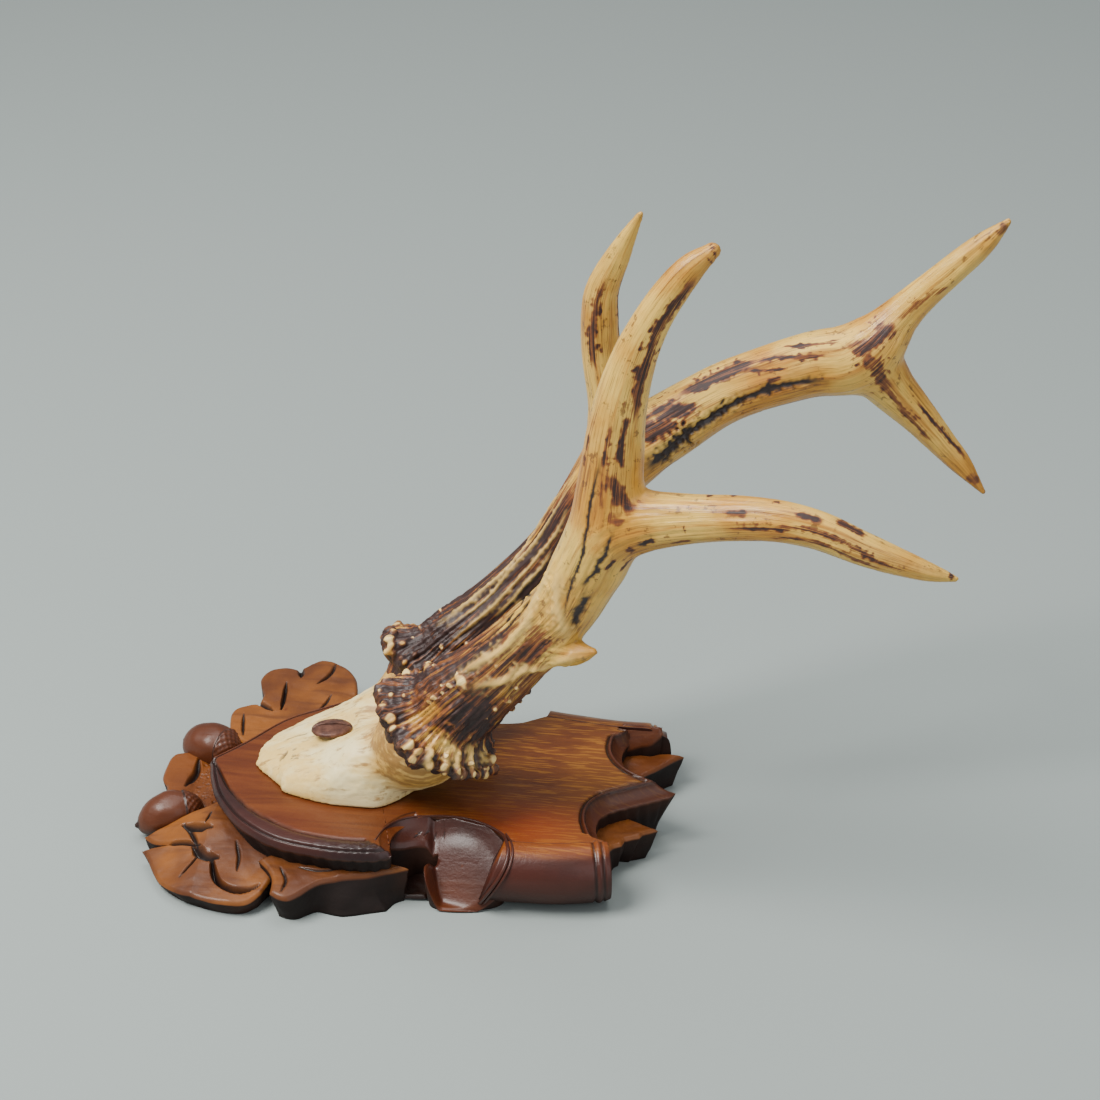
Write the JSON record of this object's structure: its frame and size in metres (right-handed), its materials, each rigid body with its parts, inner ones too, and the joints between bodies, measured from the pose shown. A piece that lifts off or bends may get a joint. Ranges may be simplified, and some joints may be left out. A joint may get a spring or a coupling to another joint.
{
  "type": "deer antlers on a carved wooden shield",
  "caption": "Forked deer antlers on their sawn skull cap, screwed to a carved wooden shield that stands flat on its back or hangs on a wall.",
  "frame": {"origin": "middle of the shield's flat back, on the surface it lies on", "axes": "+Z out of the shield's face, +X along the shield's long axis towards its scrolled end, over which the tines point; the animal's left antler is at -Y"},
  "size_m": [0.2767, 0.1362, 0.2311],
  "materials": {
    "oak": "dark red-brown stained oak under satin varnish, nearly black in the carving's cuts",
    "rusty_steel": "dull brown rusted steel",
    "bone": null,
    "antler": null
  },
  "bodies": {
    "root": {"plaque": "oak", "screw": "rusty_steel", "skull_cap": "bone", "left_beam": "antler", "left_front_tine": "antler", "left_upper_beam": "antler", "right_beam": "antler", "right_front_tine": "antler", "right_upper_beam": "antler", "right_top_tine": "antler", "right_rear_tine": "antler"}
  },
  "joints": []
}
